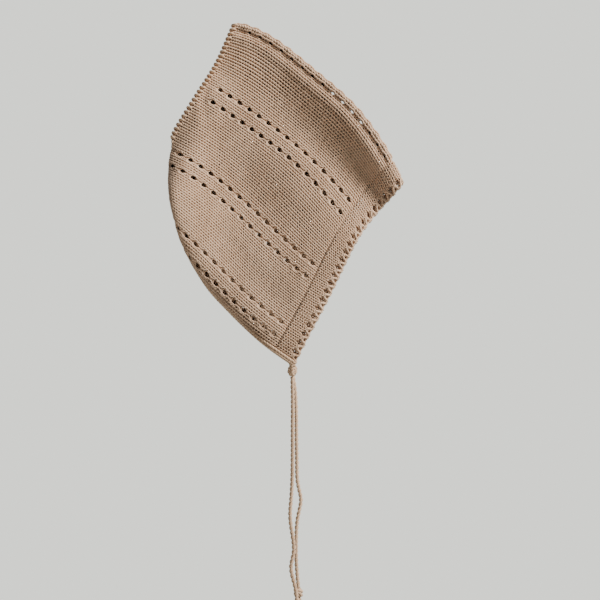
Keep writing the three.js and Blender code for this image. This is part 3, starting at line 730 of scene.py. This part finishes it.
def painted_shade_sheet():
    """A thin closed sheet in the middle of the knitting, with the eyelets left open. Its dark colour is
    painted shade.
    """
    rows = BACKING_ROWS
    edges = [LADDERS - BACKING_HALF_WALES, LADDERS + BACKING_HALF_WALES]
    plain = np.arange(BACKING_START, BACKING_END, BACKING_STEP)
    plain = plain[np.abs(plain[:, None] - LADDERS).min(1) > BACKING_HALF_WALES + BACKING_MARGIN]
    wales = np.unique(np.concatenate(edges + [plain]))
    r, w = np.meshgrid(rows, wales, indexing="ij")
    height = relief(r, w)
    outer, _ = on_fabric(r, w, height + BACKING_OUT)
    inner, _ = on_fabric(r, w, height + BACKING_IN)
    verts = np.concatenate([outer.reshape(-1, 3), inner.reshape(-1, 3)])
    count, width = len(rows) * len(wales), len(wales)
    middle_r, middle_w = (rows[1:] + rows[:-1]) / 2, (wales[1:] + wales[:-1]) / 2
    hole_row, hole_wale = hole_beside(*np.meshgrid(middle_r, middle_w, indexing="ij"))
    open_r = np.abs(middle_r[:, None] - hole_row) < BACKING_HALF_ROWS
    solid = ~(open_r & (np.abs(middle_w - hole_wale) < BACKING_HALF_WALES))
    quads = []
    for i, j in zip(*np.nonzero(solid)):
        a, d = i * width + j, (i + 1) * width + j
        b, c = a + 1, d + 1
        quads += [(a, b, c, d), (d + count, c + count, b + count, a + count)]
        # A wall along each edge that has no solid cell beside it
        for p, q, ni, nj in ((a, b, i - 1, j), (b, c, i, j + 1), (c, d, i + 1, j), (d, a, i, j - 1)):
            inside = 0 <= ni < len(rows) - 1 and 0 <= nj < len(wales) - 1
            if not (inside and solid[ni, nj]):
                quads.append((q, p, p + count, q + count))
    add_piece("painted_shade_sheet", verts, quads, PAINTED_SHADE_BACKING)


painted_shade_sheet()

# Neck borders: V stitches on the outer, inner and lower sides of a core
BORDER_WIDTH, BORDER_SEAT, BORDER_START, BORDER_POINTS = 4.2, 0.42, -0.2, 420
BORDER_FACE_OUT, BORDER_EDGE_OUT, BORDER_FACE_WIDTH, BORDER_EDGE_WIDTH = 1.0, 1.3, 3.6, 3.0
BORDER_CORE, CORE_STEP = 1.25, 4
V_SPACING, V_YARN, V_POINTS, V_CURVE, V_LENGTH, V_DEPTH = 2.5, 0.72, 13, 0.2, 0.95, 0.36


def along_line(centre, spacing, *fields):
    """Points at even spacing along a line, with the fields interpolated there."""
    run = run_along(centre)
    at = np.arange(spacing / 2, run[-1], spacing)
    return [at_runs(at, run, field) for field in (centre, *fields)]


def v_chain(centre, up, lateral, width):
    """A column of V stitches along a line."""
    centre, up, lateral = along_line(centre, V_SPACING, up, lateral)
    forward = unit(np.gradient(centre, axis=0))
    t = np.linspace(-0.5, 0.5, V_POINTS)
    phase = 2 * math.pi * t
    sideways = width * (t + V_CURVE * np.sin(2 * phase))
    ahead = V_SPACING * V_LENGTH * np.cos(phase)
    height = -V_DEPTH * np.cos(2 * phase)
    paths = (
        centre[:, None]
        + lateral[:, None] * sideways[None, :, None]
        + forward[:, None] * ahead[None, :, None]
        + up[:, None] * height[None, :, None]
    )
    normals = np.repeat(up[:, None], len(t), axis=1)
    return tubes(paths, normals, V_YARN, PLY_SIDES)


for side, label in SIDES:
    rows = np.linspace(BORDER_START, SEAM_ROW, BORDER_POINTS)
    wales = np.full_like(rows, side * WALES)
    point, normal = on_fabric(rows, wales, 0 * rows)
    across = unit(sample(ACROSS, rows, wales) * side)
    centre = point + across * (CLEARANCE + BORDER_WIDTH * BORDER_SEAT)
    parts = [
        v_chain(centre + normal * BORDER_FACE_OUT, normal, across, BORDER_FACE_WIDTH),
        v_chain(centre - normal * BORDER_FACE_OUT, -normal, across, BORDER_FACE_WIDTH),
        v_chain(centre + across * BORDER_EDGE_OUT, across, normal, BORDER_EDGE_WIDTH),
        tubes(centre[None, ::CORE_STEP], normal[None, ::CORE_STEP], BORDER_CORE, ROUND_SIDES),
    ]
    add_piece("border_" + label, *joined(parts), CORD, ["neck_border_" + label])

# The border's end runs down over each chin loop as a thick three-ply knot
CHIN_ROWS, CHIN_PAST_WALES = (3.0, 1.2), 0.7
CHIN_ABOVE, CHIN_BELOW = 0.6, 0.4
CHIN_STEP, CHIN_PLIES, CHIN_SPREAD, CHIN_TWIST, CHIN_PLY = 0.5, 3, 1.15, 7.0, 1.1

for side, label in SIDES:
    centre = chin_loop_centre(label)
    route = []
    for row in CHIN_ROWS:
        rows, wales = np.array([row]), np.array([side * (WALES + CHIN_PAST_WALES)])
        route.append(on_fabric(rows, wales, np.zeros(1))[0][0])
    route += [centre + (0, 0, LOOP_RADIUS + CHIN_ABOVE), centre, centre - (0, 0, LOOP_RADIUS + CHIN_BELOW)]
    path, _ = dense(route, CHIN_STEP)
    verts, quads = tubes(*plies(path, CHIN_PLIES, CHIN_SPREAD, CHIN_TWIST), CHIN_PLY, PLY_SIDES)
    add_piece("chin_knot_" + label, verts, quads, CORD, slot="cord_yarn")

# Overcast stitches that wrap the two edges along the back
SEAM_POINTS, SEAM_BEHIND, SEAM_CORE = 330, 0.3, 1.2
OVERCAST_PITCH, OVERCAST_POINTS, OVERCAST_TURN, OVERCAST_YARN = 3.6, 13, 2.0, 0.95
OVERCAST_OUT, OVERCAST_SIDEWAYS, OVERCAST_SLANT = 2.3, 3.1, 1.3

wales = np.linspace(0.0, WALES, SEAM_POINTS)
rows = np.full_like(wales, SEAM_ROW)
near_point, _ = on_fabric(rows, -wales, 0 * rows)
far_point, _ = on_fabric(rows, wales, 0 * rows)
back = sample(ALONG, rows, -wales) + sample(ALONG, rows, wales)
back[:, 1] = 0
back = unit(back)
spine = (near_point + far_point) / 2 + back * (CLEARANCE + SEAM_BEHIND)
centre, outward = along_line(spine, OVERCAST_PITCH, back)
forward = unit(np.gradient(centre, axis=0))
t = np.linspace(-1, 1, OVERCAST_POINTS)[None, :, None]
turn = t * OVERCAST_TURN
sideways = np.array([0.0, 1.0, 0.0])
arcs = (
    centre[:, None]
    + outward[:, None] * OVERCAST_OUT * np.cos(turn)
    + sideways * OVERCAST_SIDEWAYS * np.sin(turn)
    + forward[:, None] * OVERCAST_SLANT * t
)
arc_normals = outward[:, None] * np.cos(turn) + sideways * np.sin(turn) + 0 * arcs
parts = [
    tubes(arcs, arc_normals, OVERCAST_YARN, PLY_SIDES),
    tubes(spine[None, ::CORE_STEP], back[None, ::CORE_STEP], SEAM_CORE, ROUND_SIDES),
]
add_piece("seam_ridge", *joined(parts), CORD, ["back_seam"])

# Floor
FLOOR_HALF, FLOOR_Z = 1.5, -1.15
FLOOR_COLOUR, FLOOR_ROUGHNESS = (0.74, 0.74, 0.7, 1), 0.9

corners = [(x * FLOOR_HALF, y * FLOOR_HALF, FLOOR_Z) for x, y in ((-1, -1), (1, -1), (1, 1), (-1, 1))]
floor_mesh = bpy.data.meshes.new("floor")
floor_mesh.from_pydata(corners, [], [(0, 1, 2, 3)])
floor = bpy.data.objects.new("floor", floor_mesh)
bpy.context.collection.objects.link(floor)
floor_look = bpy.data.materials.new("floor_look")
floor_look.use_nodes = True
floor_shader = floor_look.node_tree.nodes["Principled BSDF"]
floor_shader.inputs["Base Color"].default_value = FLOOR_COLOUR
floor_shader.inputs["Roughness"].default_value = FLOOR_ROUGHNESS
floor_mesh.materials.append(floor_look)

# Studio light. The background is seen paler than the light that it gives, so that the yarn keeps its
# relief.
GLOW_COLOUR, GLOW_STRENGTH = (0.86, 0.9, 0.95, 1), 0.13
SEEN_COLOUR, SEEN_STRENGTH = (0.72, 0.73, 0.68, 1), 1.8
LIT_POINT = (0.0, 0.0, -0.12)
# Name, direction, distance and size in metres, watts, colour
LIGHTS = (
    ("key", (0.7, -0.32, 0.64), 1.8, 0.4, 72.0, (1.0, 0.96, 0.9)),
    ("fill", (-0.6, -0.9, 0.1), 2.2, 1.6, 4.0, (1.0, 0.95, 0.88)),
    ("rear", (-0.4, 1.0, 0.6), 2.0, 0.9, 30.0, (1.0, 0.97, 0.93)),
)

world = bpy.data.worlds.new("studio")
world.use_nodes = True
nodes, links = world.node_tree.nodes, world.node_tree.links
glow = nodes["Background"]
glow.inputs["Color"].default_value = GLOW_COLOUR
glow.inputs["Strength"].default_value = GLOW_STRENGTH
seen = nodes.new("ShaderNodeBackground")
seen.inputs["Color"].default_value = SEEN_COLOUR
seen.inputs["Strength"].default_value = SEEN_STRENGTH
ray = nodes.new("ShaderNodeLightPath")
choose = nodes.new("ShaderNodeMixShader")
links.new(ray.outputs["Is Camera Ray"], choose.inputs["Fac"])
links.new(glow.outputs["Background"], choose.inputs[1])
links.new(seen.outputs["Background"], choose.inputs[2])
links.new(choose.outputs["Shader"], nodes["World Output"].inputs["Surface"])
bpy.context.scene.world = world

for name, towards, distance, size, power, colour in LIGHTS:
    light = bpy.data.lights.new(name, "AREA")
    light.energy, light.size, light.color = power, size, colour
    holder = bpy.data.objects.new(name, light)
    direction = Vector(towards).normalized()
    holder.location = Vector(LIT_POINT) + direction * distance
    holder.rotation_euler = direction.to_track_quat("Z", "Y").to_euler()
    bpy.context.collection.objects.link(holder)
